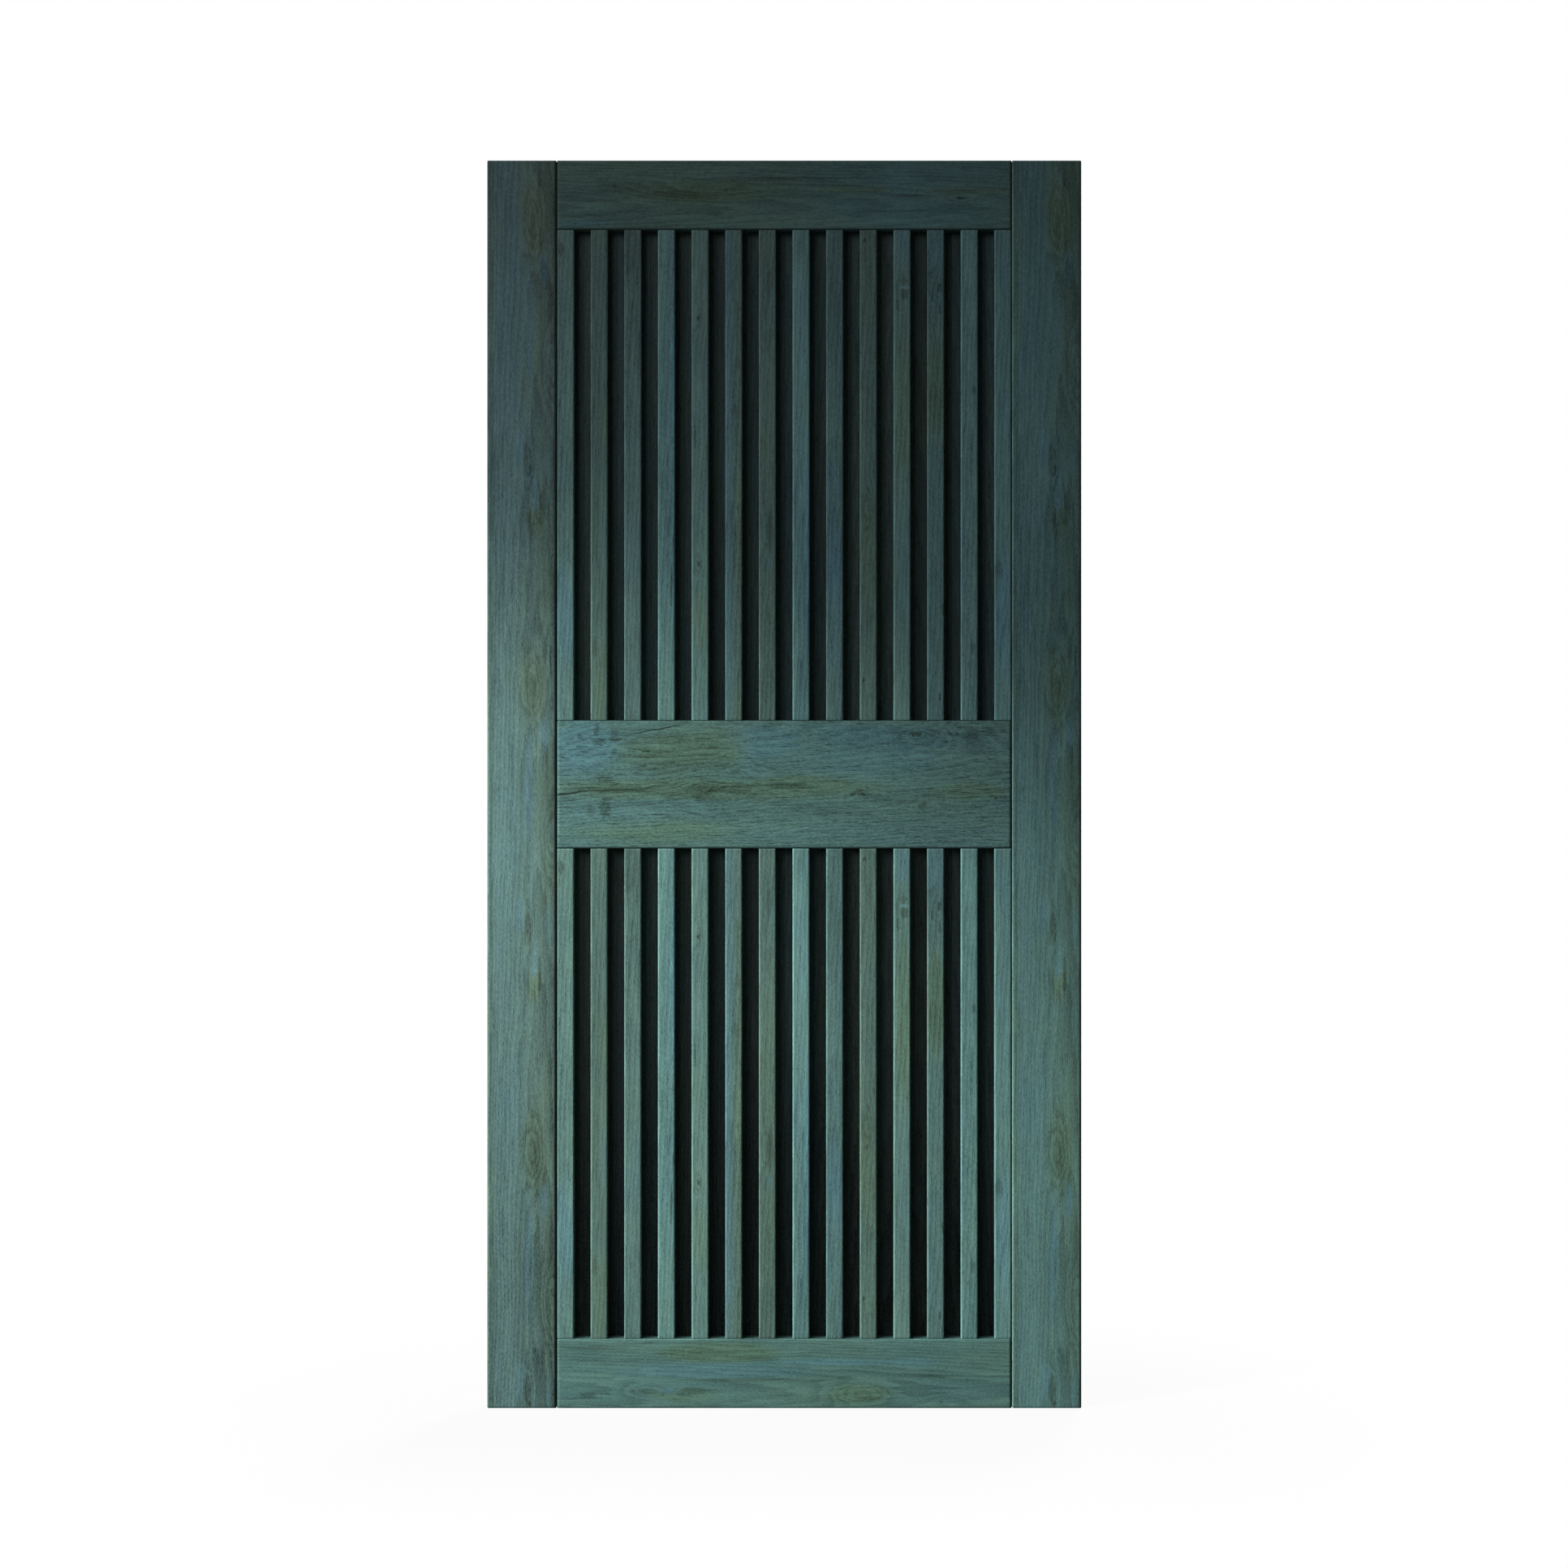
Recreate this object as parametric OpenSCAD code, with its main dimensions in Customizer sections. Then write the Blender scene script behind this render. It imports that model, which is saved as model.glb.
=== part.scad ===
// Sliding barn door: a doweled frame of two stiles and three rails, with two fields
// of upright slats that are glued to back panels held in grooves of the frame.
// Millimetres, +Z up, the front faces -Y, the origin is at the middle of the bottom edge.

/* [Door] */
// Width of the whole door
door_w = 1016; // [760:1:1220]
// Height of the whole door
door_h = 2133.6; // [1980:0.1:2440]
// Thickness of the frame, from its front face to its back face
door_t = 35; // [32:0.5:45]

/* [Frame] */
// Width of each stile
stile_w = 119; // [95:1:150]
// Height of the top rail
top_rail_h = 119; // [90:1:160]
// Height of the middle rail
mid_rail_h = 219; // [150:1:280]
// Height of the bottom rail
bottom_rail_h = 119; // [95:1:220]
// Height of the middle rail's centre line above the bottom edge
mid_rail_centre = 1066.8; // [900:0.1:1200]
// Radius of the eased edges of the stiles and rails
edge_r = 3.5; // [1:0.25:5]

/* [Slats] */
// Number of slats side by side in each field
slat_count = 14; // [6:1:20]
// Width of a slat
slat_w = 29; // [20:0.5:36]
// Depth of the slats' front faces below the front of the frame
slat_recess = 1; // [0:0.25:5]
// Radius of the eased front edges of a slat
slat_r = 1.5; // [0.5:0.25:4]
// Gap between a slat and the frame beside and beyond it
slat_gap = 0.5; // [0.2:0.1:0.9]

/* [Back panels] */
// Depth of the panels' front faces below the front of the frame
panel_depth = 22; // [18:0.5:26]
// Thickness of a back panel
panel_t = 6; // [4:0.5:8]
// Depth that a panel's edges reach into the frame
panel_tongue = 9; // [5:0.5:12]
// Clearance before and behind a panel in its groove
panel_fit = 0.15; // [0.05:0.05:0.3]
// Room for the panel to swell between its edge and the bottom of the groove
panel_swell = 1; // [0.5:0.25:2]

/* [Dowels] */
// Diameter of a dowel
dowel_d = 12; // [8:0.5:14]
// Length of a dowel
dowel_l = 110; // [70:1:120]
// Radial clearance of a dowel in its bore
dowel_fit = 0.05; // [0.02:0.01:0.2]
// Room for glue past each end of a dowel
dowel_end_gap = 2; // [0.5:0.5:4]
// Distance from a dowel's axis to the nearest edge or groove of its rail
dowel_inset = 22; // [18:0.5:26]
// Chamfer at the ends of a dowel
dowel_chamfer = 1.5; // [0.5:0.25:2.5]
// Number of glue flutes round a dowel
flute_count = 10; // [6:1:16]
// Depth of a glue flute, a square V cut along the dowel
flute_depth = 0.6; // [0.3:0.1:0.8]
// Number of dowels at each end of the top and bottom rails
outer_dowel_count = 2; // [2:1:3]
// Number of dowels at each end of the middle rail
mid_dowel_count = 3; // [2:1:4]

/* [Floor guide groove] */
// Width of the groove that runs along the bottom edge
guide_w = 8; // [6:0.5:10]
// Depth of the groove
guide_depth = 20; // [12:0.5:25]

/* [Hidden] */
$fn = 48;

// How far a cut runs past the face that it opens
overrun = 1;

// Stain on the wood, and bare wood where nothing is stained
stain = [0.33, 0.46, 0.44];
stain_slat = [0.36, 0.49, 0.47];
stain_panel = [0.20, 0.27, 0.27];
bare_wood = [0.80, 0.66, 0.47];

// Heights of the rails and of the two fields between them
top_rail_z = door_h - top_rail_h;
mid_rail_z = mid_rail_centre - mid_rail_h / 2;
upper_field_z = mid_rail_z + mid_rail_h;
upper_field_h = top_rail_z - upper_field_z;
lower_field_z = bottom_rail_h;
lower_field_h = mid_rail_z - lower_field_z;

// Length of the rails, which is the width of the fields too
rail_l = door_w - 2 * stile_w;

// Depths through the thickness of the door
front_y = -door_t / 2;
panel_front_y = front_y + panel_depth;
slat_front_y = front_y + slat_recess;
slat_t = panel_front_y - slat_front_y;

// The first and last slats stand beside the stiles, and the rest are spaced evenly
slat_pitch = (rail_l - 2 * slat_gap - slat_w) / (slat_count - 1);
slat_first_x = -rail_l / 2 + slat_gap + slat_w / 2;

// Heights of the dowels, between the edges and grooves of each rail
top_dowels = dowel_heights(top_rail_z + panel_tongue, door_h, outer_dowel_count);
mid_dowels = dowel_heights(mid_rail_z + panel_tongue, upper_field_z - panel_tongue, mid_dowel_count);
bottom_dowels = dowel_heights(guide_depth, lower_field_z - panel_tongue, outer_dowel_count);
all_dowels = concat(top_dowels, mid_dowels, bottom_dowels);

SIDES = [-1, 1];
UPPER_SLATS = slat_names("upper");
LOWER_SLATS = slat_names("lower");
FRAME = ["left_stile", "right_stile", "top_rail", "mid_rail", "bottom_rail", "joint_dowels"];
PANELS = ["upper_panel", "lower_panel"];

// Heights of evenly spaced dowels between two limits, each a named inset from its limit
function dowel_heights(low, high, count) =
    [for (i = [0 : count - 1])
        low + dowel_inset + i * (high - low - 2 * dowel_inset) / (count - 1)];

// Names of one field's slats, from left to right with two digits each
function slat_names(field) =
    [for (i = [1 : slat_count]) str(field, "_slat_", i < 10 ? "0" : "", i)];

// A rectangle with round corners, centred on the origin
module round_rect(size, r) {
    square([size.x - 2 * r, size.y], center = true);
    square([size.x, size.y - 2 * r], center = true);
    for (x = SIDES, y = SIDES)
        translate([x * (size.x / 2 - r), y * (size.y / 2 - r)])
            circle(r);
}

// A board with all its edges eased, centred on the origin
module eased_board(size, r) {
    intersection() {
        linear_extrude(size.z, center = true)
            round_rect([size.x, size.y], r);
        rotate([90, 0, 0])
            linear_extrude(size.y, center = true)
                round_rect([size.x, size.z], r);
        rotate([90, 0, 90])
            linear_extrude(size.x, center = true)
                round_rect([size.y, size.z], r);
    }
}

// The room that a panel takes in the frame: its own size and a margin on each side
module panel_room(field_z, field_h, edge_margin, face_margin) {
    reach = panel_tongue + edge_margin;
    translate([-rail_l / 2 - reach, panel_front_y - face_margin, field_z - reach])
        cube([rail_l + 2 * reach, panel_t + 2 * face_margin, field_h + 2 * reach]);
}

// The grooves that both panels stand in
module panel_grooves() {
    panel_room(upper_field_z, upper_field_h, panel_swell, panel_fit);
    panel_room(lower_field_z, lower_field_h, panel_swell, panel_fit);
}

// One end's column of dowel bores, across the line where the rails meet a stile
module dowel_bores(side, heights) {
    bore_l = dowel_l + 2 * dowel_end_gap;
    for (z = heights)
        translate([side * rail_l / 2, 0, z])
            rotate([0, 90, 0])
                cylinder(h = bore_l, r = dowel_d / 2 + dowel_fit, center = true);
}

// The groove for the floor guide, along the whole bottom edge
module guide_groove() {
    translate([-door_w / 2 - overrun, -guide_w / 2, -overrun])
        cube([door_w + 2 * overrun, guide_w, guide_depth + overrun]);
}

// An upright at one side of the door, from top to bottom
module stile(side) {
    color(stain)
        difference() {
            translate([side * (rail_l + stile_w) / 2, 0, door_h / 2])
                eased_board([stile_w, door_t, door_h], edge_r);
            panel_grooves();
            dowel_bores(side, all_dowels);
            guide_groove();
        }
}

// A cross piece between the stiles
module rail(z, h, heights) {
    color(stain)
        difference() {
            translate([0, 0, z + h / 2])
                eased_board([rail_l, door_t, h], edge_r);
            panel_grooves();
            for (side = SIDES)
                dowel_bores(side, heights);
        }
}

module top_rail() {
    rail(top_rail_z, top_rail_h, top_dowels);
}

module mid_rail() {
    rail(mid_rail_z, mid_rail_h, mid_dowels);
}

module bottom_rail() {
    difference() {
        rail(0, bottom_rail_h, bottom_dowels);
        color(stain) guide_groove();
    }
}

// A dowel along Z, centred on the origin, with glue flutes and chamfered ends.
// The cones of the chamfers run on past the dowel's side.
module dowel() {
    r = dowel_d / 2;
    intersection() {
        linear_extrude(dowel_l, center = true)
            difference() {
                circle(r);
                for (i = [0 : flute_count - 1])
                    rotate(i * 360 / flute_count)
                        translate([r, 0])
                            circle(flute_depth, $fn = 4);
            }
        rotate_extrude()
            polygon([
                [0, -dowel_l / 2],
                [r - dowel_chamfer, -dowel_l / 2],
                [r + overrun, -dowel_l / 2 + dowel_chamfer + overrun],
                [r + overrun, dowel_l / 2 - dowel_chamfer - overrun],
                [r - dowel_chamfer, dowel_l / 2],
                [0, dowel_l / 2]
            ]);
    }
}

module joint_dowels() {
    color(bare_wood)
        for (side = SIDES, z = all_dowels)
            translate([side * rail_l / 2, 0, z])
                rotate([0, 90, 0])
                    dowel();
}

// A back panel, which closes one field and carries its slats
module panel(field_z, field_h) {
    color(stain_panel)
        panel_room(field_z, field_h, 0, 0);
}

// The section of a slat: square at the back, with eased front corners
module slat_section() {
    translate([-slat_w / 2, slat_r])
        square([slat_w, slat_t - slat_r]);
    translate([slat_r - slat_w / 2, 0])
        square([slat_w - 2 * slat_r, slat_t]);
    for (side = SIDES)
        translate([side * (slat_w / 2 - slat_r), slat_r])
            circle(slat_r);
}

// One upright slat, counted from the left of its field
module slat(index, field_z, field_h) {
    color(stain_slat)
        translate([slat_first_x + index * slat_pitch, slat_front_y, field_z + slat_gap])
            linear_extrude(field_h - 2 * slat_gap)
                slat_section();
}

stile(-1);  // left_stile
stile(1);  // right_stile
top_rail();
mid_rail();
bottom_rail();
joint_dowels();
panel(upper_field_z, upper_field_h);  // upper_panel
panel(lower_field_z, lower_field_h);  // lower_panel
for (i = [0 : slat_count - 1]) {
    slat(i, upper_field_z, upper_field_h);
    slat(i, lower_field_z, lower_field_h);
}
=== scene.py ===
"""Looks of a slatted sliding barn door: blue-green stained oak boards on a plain studio floor."""
import math
from collections import namedtuple

import bmesh
import bpy
from bpy.props import FloatProperty, FloatVectorProperty, PointerProperty
from bpy.types import NodeSocket, Operator, Panel, PropertyGroup
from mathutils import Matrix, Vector


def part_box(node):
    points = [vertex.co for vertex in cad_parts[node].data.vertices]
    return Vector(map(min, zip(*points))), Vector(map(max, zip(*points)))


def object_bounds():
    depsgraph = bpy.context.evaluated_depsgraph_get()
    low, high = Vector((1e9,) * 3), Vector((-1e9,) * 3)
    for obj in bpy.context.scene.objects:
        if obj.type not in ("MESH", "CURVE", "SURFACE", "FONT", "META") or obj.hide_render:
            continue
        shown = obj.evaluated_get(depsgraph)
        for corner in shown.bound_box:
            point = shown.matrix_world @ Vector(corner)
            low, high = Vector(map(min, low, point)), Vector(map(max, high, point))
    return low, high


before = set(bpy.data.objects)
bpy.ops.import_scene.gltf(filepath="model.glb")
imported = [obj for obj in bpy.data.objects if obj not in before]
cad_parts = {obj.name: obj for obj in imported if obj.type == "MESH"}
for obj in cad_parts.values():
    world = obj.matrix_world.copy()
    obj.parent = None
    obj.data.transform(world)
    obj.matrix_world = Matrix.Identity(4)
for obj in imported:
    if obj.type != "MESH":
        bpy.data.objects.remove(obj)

bl_info = {
    "name": "Slatted barn door",
    "version": (1, 0, 0),
    "blender": (4, 5, 0),
    "location": "3D View > Sidebar > Barn Door",
    "description": "Stained oak finishes, studio floor, lamps and camera for a slatted sliding barn door",
    "category": "Object",
}

CAD_LOW, CAD_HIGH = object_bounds()
DOOR_MIDDLE = (CAD_LOW + CAD_HIGH) / 2
FRONT_Y = CAD_LOW.y

# Turns that lay a board's grain along the pattern's first axis and its width along the second
UPRIGHT = (math.pi / 2, 0, math.pi / 2)
LEVEL = (-math.pi / 2, 0, 0)

# Features of a board, in metres along and across it from its middle
# Grain that swells round a knot or a crotch, with a number of closed rings in it
Eye = namedtuple("Eye", "along across length width pull rings")
# A fleck or patch: how brown it is, how far it turns to olive (or blue), how much lighter it is, its edge
Mark = namedtuple("Mark", "along across length width brown olive light soft")
# A drying check from one point to another
Check = namedtuple("Check", "along across end_along end_across width")
# The heart of the tree: across and behind the board, and how fast the rings run out of its face
Pith = namedtuple("Pith", "across depth slope")
# Dark stain at a joint and painted shade beside it: the board's axis and side that meet the neighbour, and
# its reach
Seam = namedtuple("Seam", "axis side reach")
# Features that start anew along a board: where their zero lies, and the two ends of their run
Recurrence = namedtuple("Recurrence", "first low high")

# Finest grain, pores, and worn edges with their painted highlight, of a plain board
PLAIN_CONTRAST = 1.0
PLAIN_PORES = 0.32
PLAIN_WEAR_AND_HIGHLIGHT = 0.60
# A board's grain, its tone and the red and blue in its stain, its features, which may recur along it,
# how strong its finest grain is, how dark its pores are, and how much lighter its edges are from wear and
# from painted highlight
Board = namedtuple(
    "Board", "seed tone red blue pith eyes marks checks recurs contrast open_grain worn",
    defaults=((), (), (), None, PLAIN_CONTRAST, PLAIN_PORES, PLAIN_WEAR_AND_HIGHLIGHT))

STRAIGHT = Pith(0.20, 0.30, 0.03)
ALONG, ACROSS = 0, 1
# How soft the edges of flecks and of patches are
CRISP = 0.45
SOFT = 1.0
# How much lighter a full blue patch is, and how much darker a full olive one
BLUE_LIFT = 0.15
OLIVE_DROP = 0.10
# Length of a stripe that runs off both ends of any board
ENDLESS = 50.0


def fleck(along, across, length, width, brown):
    """A crisp brown fleck."""
    return Mark(along, across, length, width, brown, 0.0, 0.0, CRISP)


def shade(along, across, length, width, brown):
    """A soft brown patch."""
    return Mark(along, across, length, width, brown, 0.0, 0.0, SOFT)


def blue_patch(along, across, length, width, share):
    """A soft patch that took up more stain."""
    return Mark(along, across, length, width, 0.0, -share, BLUE_LIFT * share, SOFT)


def olive_patch(along, across, length, width, share):
    """A soft patch where the wood's own colour shows through."""
    return Mark(along, across, length, width, 0.0, share, -OLIVE_DROP * share, SOFT)


def tone_patch(along, across, length, width, light):
    """A soft patch that is only lighter or darker."""
    return Mark(along, across, length, width, 0.0, 0.0, light, SOFT)


def stripe(across, width, brown, olive, light):
    """A soft stripe along the whole board."""
    return Mark(0.0, across, ENDLESS, width, brown, olive, light, SOFT)


# Sapwood on the left, heartwood on the right, and the same figure again and again along the board
LEFT_STILE = Board(
    1.0, 1.03, 1.03, 0.95, Pith(0.030, 0.060, 0.02),
    eyes=[
        Eye(0.000, 0.020, 0.055, 0.015, 0.3, 3.5),
        Eye(-0.257, 0.050, 0.055, 0.014, 0.3, 3.0),
        Eye(-0.408, 0.012, 0.032, 0.007, 0.5, 2.5),
    ],
    marks=[
        stripe(-0.056, 0.006, 0.30, 0.2, 0.0),
        stripe(-0.030, 0.026, 0.0, -0.2, 0.12),
        stripe(0.050, 0.020, 0.22, 0.15, 0.0),
        olive_patch(0.000, 0.019, 0.060, 0.018, 0.5),
        shade(-0.015, 0.020, 0.025, 0.005, 0.35),
        blue_patch(-0.080, 0.038, 0.024, 0.007, 0.7),
        shade(-0.160, 0.048, 0.065, 0.010, 0.45),
        blue_patch(-0.180, 0.012, 0.090, 0.007, 0.5),
        shade(-0.406, 0.009, 0.024, 0.005, 0.50),
        fleck(-0.426, 0.014, 0.008, 0.002, 0.75),
        fleck(-0.400, 0.014, 0.008, 0.002, 0.45),
        blue_patch(-0.462, 0.022, 0.026, 0.003, 0.7),
        Mark(-0.484, 0.021, 0.012, 0.006, 0.0, -0.7, 0.12, 0.8),
        shade(-0.480, 0.031, 0.028, 0.003, 0.50),
        fleck(-0.512, 0.030, 0.008, 0.004, 0.45),
        shade(-0.515, 0.011, 0.020, 0.002, 0.40),
        olive_patch(-0.506, 0.022, 0.030, 0.010, 0.5),
        blue_patch(-0.388, -0.003, 0.026, 0.007, 0.5),
        blue_patch(-0.410, 0.046, 0.032, 0.006, 0.5),
    ],
    recurs=Recurrence(0.166, -0.600, 0.197),
    contrast=1.15,
    open_grain=0.16,
)
# The right stile is the same wood as the left; its lower red is painted cooler light, and its stronger edge
# lightening a painted highlight
RIGHT_STILE = LEFT_STILE._replace(red=0.925, worn=1.20)
# Each stile's board, how much painted shade darkens its foot, and painted shade that doesn't recur along it:
# on the upper part of each stile, and along the left stile's inner side
STILES = {
    "left_stile": (
        LEFT_STILE, 0.28, [tone_patch(0.36, 0.0, 0.17, 0.20, -0.14), stripe(0.058, 0.009, 0.0, 0.0, -0.18)]),
    "right_stile": (RIGHT_STILE, 0.0, [tone_patch(0.29, 0.0, 0.17, 0.20, -0.14)]),
}
TOP_RAIL = Board(
    2.0, 0.92, 0.935, 0.88, Pith(-0.02, 0.07, 0.03),
    eyes=[
        Eye(-0.150, 0.008, 0.110, 0.018, 0.3, 3.0),
        Eye(0.300, -0.005, 0.030, 0.008, 0.5, 1.5),
    ],
    marks=[
        olive_patch(-0.145, 0.006, 0.120, 0.016, 0.5),
        shade(-0.190, 0.000, 0.060, 0.007, 0.35),
        shade(-0.050, 0.025, 0.060, 0.003, 0.35),
        shade(-0.340, -0.010, 0.050, 0.002, 0.35),
        shade(0.040, 0.029, 0.060, 0.0025, 0.45),
        olive_patch(0.120, 0.010, 0.055, 0.006, 0.6),
        blue_patch(0.200, 0.030, 0.028, 0.022, 0.6),
        blue_patch(0.235, -0.042, 0.070, 0.011, 0.7),
        blue_patch(-0.350, -0.048, 0.050, 0.006, 0.7),
        shade(0.208, -0.001, 0.024, 0.0025, 0.45),
        fleck(0.299, -0.005, 0.009, 0.0025, 0.85),
        olive_patch(0.325, 0.006, 0.070, 0.004, 0.6),
        blue_patch(0.230, 0.000, 0.160, 0.200, 0.4),
    ],
    checks=[Check(0.172, -0.027, 0.274, -0.027, 0.0008)],
)
MID_RAIL = Board(
    3.0, 0.985, 0.89, 0.965, Pith(0.13, 0.20, 0.05),
    eyes=[
        Eye(-0.134, -0.011, 0.046, 0.032, 0.45, 1.6),
        Eye(-0.080, -0.008, 0.036, 0.012, 0.25, 0.8),
        Eye(-0.066, 0.036, 0.030, 0.022, 0.3, 2.0),
        Eye(-0.310, 0.060, 0.060, 0.040, 0.2, 2.0),
        Eye(0.129, -0.013, 0.030, 0.012, 0.6, 1.5),
        Eye(0.226, 0.086, 0.026, 0.009, 0.6, 1.5),
        Eye(0.236, -0.034, 0.040, 0.014, 0.5, 2.0),
        Eye(0.320, 0.090, 0.050, 0.040, 0.2, 3.5),
    ],
    marks=[
        # Olive and blue grounds
        olive_patch(-0.130, -0.008, 0.230, 0.015, 0.7),
        olive_patch(-0.160, 0.055, 0.100, 0.032, 0.6),
        olive_patch(-0.230, -0.080, 0.120, 0.020, 0.4),
        olive_patch(0.030, 0.004, 0.060, 0.010, 0.6),
        olive_patch(0.320, -0.012, 0.060, 0.012, 0.5),
        blue_patch(-0.345, 0.065, 0.050, 0.038, 0.8),
        blue_patch(-0.056, 0.044, 0.024, 0.018, 0.4),
        blue_patch(-0.035, 0.072, 0.050, 0.022, 0.6),
        blue_patch(0.140, 0.060, 0.110, 0.038, 0.4),
        blue_patch(-0.300, -0.060, 0.070, 0.016, 0.3),
        # The knot and the flame on its right
        shade(-0.136, -0.010, 0.019, 0.017, 0.45),
        fleck(-0.126, -0.010, 0.006, 0.004, 0.85),
        fleck(-0.145, -0.006, 0.005, 0.005, 0.50),
        shade(-0.082, -0.008, 0.026, 0.006, 0.35),
        shade(0.005, -0.003, 0.034, 0.004, 0.50),
        # Ray flecks on the left
        fleck(-0.321, 0.091, 0.005, 0.012, 0.50),
        fleck(-0.316, 0.072, 0.010, 0.006, 0.55),
        fleck(-0.290, 0.088, 0.006, 0.012, 0.40),
        fleck(-0.289, 0.076, 0.010, 0.003, 0.85),
        fleck(-0.350, 0.081, 0.003, 0.007, 0.50),
        fleck(-0.345, 0.077, 0.007, 0.002, 0.50),
        fleck(-0.347, 0.064, 0.007, 0.002, 0.45),
        fleck(-0.370, 0.070, 0.004, 0.003, 0.40),
        fleck(-0.234, 0.057, 0.007, 0.002, 0.85),
        shade(-0.228, 0.049, 0.020, 0.005, 0.40),
        fleck(-0.309, 0.008, 0.010, 0.005, 0.50),
        fleck(-0.292, -0.001, 0.009, 0.004, 0.55),
        shade(-0.300, -0.010, 0.060, 0.005, 0.50),
        fleck(-0.306, -0.025, 0.010, 0.002, 0.75),
        fleck(-0.307, -0.039, 0.010, 0.012, 0.50),
        fleck(-0.306, -0.051, 0.009, 0.003, 0.70),
        fleck(-0.331, -0.046, 0.007, 0.012, 0.35),
        fleck(-0.290, -0.068, 0.008, 0.002, 0.70),
        # Flecks on the right
        fleck(0.226, 0.086, 0.010, 0.004, 0.80),
        shade(0.215, 0.087, 0.030, 0.003, 0.40),
        fleck(0.129, -0.013, 0.008, 0.006, 0.50),
        fleck(0.116, -0.018, 0.004, 0.002, 0.85),
        fleck(0.135, -0.017, 0.004, 0.003, 0.85),
        fleck(0.236, -0.036, 0.007, 0.006, 0.50),
        shade(0.222, -0.031, 0.024, 0.003, 0.40),
        fleck(0.361, -0.024, 0.004, 0.002, 0.85),
        shade(0.318, 0.086, 0.012, 0.012, 0.40),
        shade(0.350, 0.090, 0.010, 0.006, 0.40),
    ],
    checks=[
        Check(-0.460, -0.027, -0.315, -0.009, 0.0022),
        Check(-0.352, -0.011, -0.222, -0.009, 0.0014),
        Check(-0.252, -0.011, -0.203, 0.002, 0.0012),
        Check(-0.204, -0.021, -0.172, -0.016, 0.0010),
        Check(-0.276, 0.084, -0.158, 0.104, 0.0016),
        Check(-0.216, -0.058, -0.184, -0.054, 0.0008),
        Check(-0.196, -0.038, -0.160, -0.030, 0.0008),
        Check(0.318, -0.079, 0.337, -0.085, 0.0010),
        Check(0.270, 0.104, 0.292, 0.075, 0.0010),
        Check(0.040, -0.072, 0.066, -0.074, 0.0008),
        Check(-0.122, 0.008, -0.058, -0.008, 0.0005),
        Check(-0.105, -0.017, -0.058, -0.012, 0.0004),
        Check(-0.194, -0.008, -0.168, 0.000, 0.0006),
    ],
    contrast=1.35,
    open_grain=0.65,
    worn=0.75,
)
BOTTOM_RAIL = Board(
    4.0, 0.956, 0.89, 0.93, Pith(-0.03, 0.08, 0.03),
    eyes=[
        Eye(0.130, -0.034, 0.050, 0.018, 0.4, 4.0),
        Eye(-0.235, -0.030, 0.040, 0.012, 0.4, 2.5),
        Eye(-0.110, 0.034, 0.080, 0.014, 0.3, 2.0),
        Eye(0.285, -0.046, 0.030, 0.008, 0.4, 2.0),
    ],
    marks=[
        olive_patch(-0.110, 0.036, 0.080, 0.014, 0.7),
        shade(-0.120, 0.038, 0.030, 0.005, 0.28),
        shade(-0.060, 0.026, 0.040, 0.005, 0.32),
        shade(-0.320, 0.044, 0.050, 0.003, 0.40),
        blue_patch(-0.125, 0.006, 0.130, 0.011, 0.6),
        blue_patch(0.085, 0.020, 0.090, 0.005, 0.7),
        blue_patch(0.225, 0.019, 0.040, 0.008, 0.5),
        shade(-0.075, -0.010, 0.080, 0.0025, 0.35),
        shade(-0.240, -0.030, 0.022, 0.005, 0.42),
        blue_patch(-0.199, -0.029, 0.012, 0.005, 0.7),
        olive_patch(-0.170, -0.036, 0.050, 0.010, 0.5),
        shade(-0.335, -0.036, 0.012, 0.005, 0.40),
        olive_patch(0.130, -0.036, 0.045, 0.014, 0.6),
        shade(0.140, -0.042, 0.020, 0.004, 0.36),
        shade(0.290, -0.004, 0.100, 0.0025, 0.40),
    ],
)
RAILS = {"top_rail": TOP_RAIL, "mid_rail": MID_RAIL, "bottom_rail": BOTTOM_RAIL}

# Dark stain and painted shade at the seams of the frame's boards, along the stiles' inner sides, at the
# rails' ends and along their edges, and of the first and last slats, along the stiles; seams on sides that
# face away from the lamps reach further, as painted shade
LEFT_END = Seam(ALONG, -1, 0.0026)
RIGHT_END = Seam(ALONG, 1, 0.0045)
RAIL_FOOT = Seam(ACROSS, -1, 0.0035)
MID_RAIL_TOP = Seam(ACROSS, 1, 0.0015)
FIRST_SLAT = Seam(ACROSS, -1, 0.0014)
LAST_SLAT = Seam(ACROSS, 1, 0.0024)
SHADED_SEAMS = {
    "left_stile": [Seam(ACROSS, 1, 0.0055)],
    "right_stile": [Seam(ACROSS, -1, 0.0008)],
    "upper_slat_01": [FIRST_SLAT],
    "lower_slat_01": [FIRST_SLAT],
    "upper_slat_14": [LAST_SLAT],
    "lower_slat_14": [LAST_SLAT],
    "top_rail": [LEFT_END, RIGHT_END, RAIL_FOOT],
    "mid_rail": [LEFT_END, RIGHT_END, RAIL_FOOT, MID_RAIL_TOP],
    "bottom_rail": [LEFT_END, RIGHT_END],
}

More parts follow.
